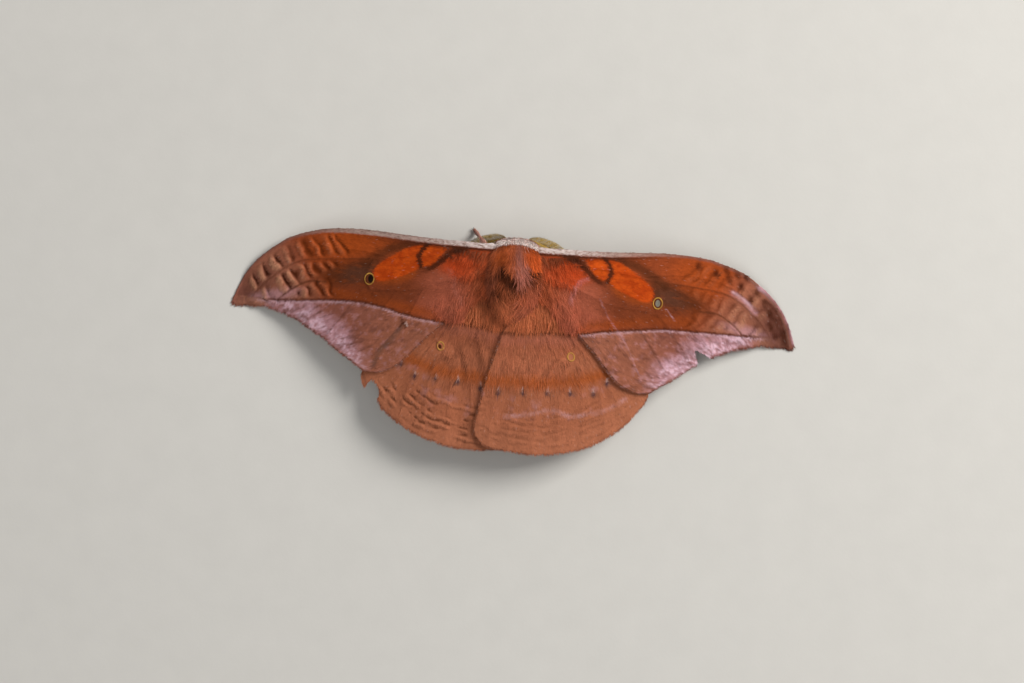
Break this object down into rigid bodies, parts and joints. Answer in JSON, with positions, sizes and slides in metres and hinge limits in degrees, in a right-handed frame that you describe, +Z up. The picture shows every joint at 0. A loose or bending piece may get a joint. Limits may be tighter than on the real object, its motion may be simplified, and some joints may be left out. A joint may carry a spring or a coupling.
{
  "type": "moth",
  "caption": "Life-size still model of a male Copaxa rufinans moth with wings spread, furry body, comb antennae, eyes and legs.",
  "frame": {"origin": "on the resting surface, under the middle of the box that holds the whole moth", "axes": "+X to the moth's left wing tip, -Y towards its head, +Z up from the resting surface"},
  "size_m": [0.1006, 0.0395, 0.0125],
  "materials": {
    "forewing_scales": "velvety overlapping scales",
    "hindwing_scales": "velvety overlapping scales",
    "body_fur": "long soft fur",
    "collar_fur": "frosted soft fur",
    "leg_scales": "short close scales",
    "antenna_cuticle": "dull horny comb",
    "eye_cuticle": "glossy faceted dome"
  },
  "bodies": {
    "root": {"collar": "collar_fur", "thorax": "body_fur", "abdomen": "body_fur", "head": "body_fur", "eye_left": "eye_cuticle", "eye_right": "eye_cuticle", "antenna_left": "antenna_cuticle", "antenna_right": "antenna_cuticle", "forewing_left": "forewing_scales", "forewing_right": "forewing_scales", "hindwing_left": "hindwing_scales", "hindwing_right": "hindwing_scales", "leg_fore_left": "leg_scales", "leg_fore_right": "leg_scales", "leg_mid_left": "leg_scales", "leg_mid_right": "leg_scales", "leg_hind_left": "leg_scales", "leg_hind_right": "leg_scales"}
  },
  "joints": []
}
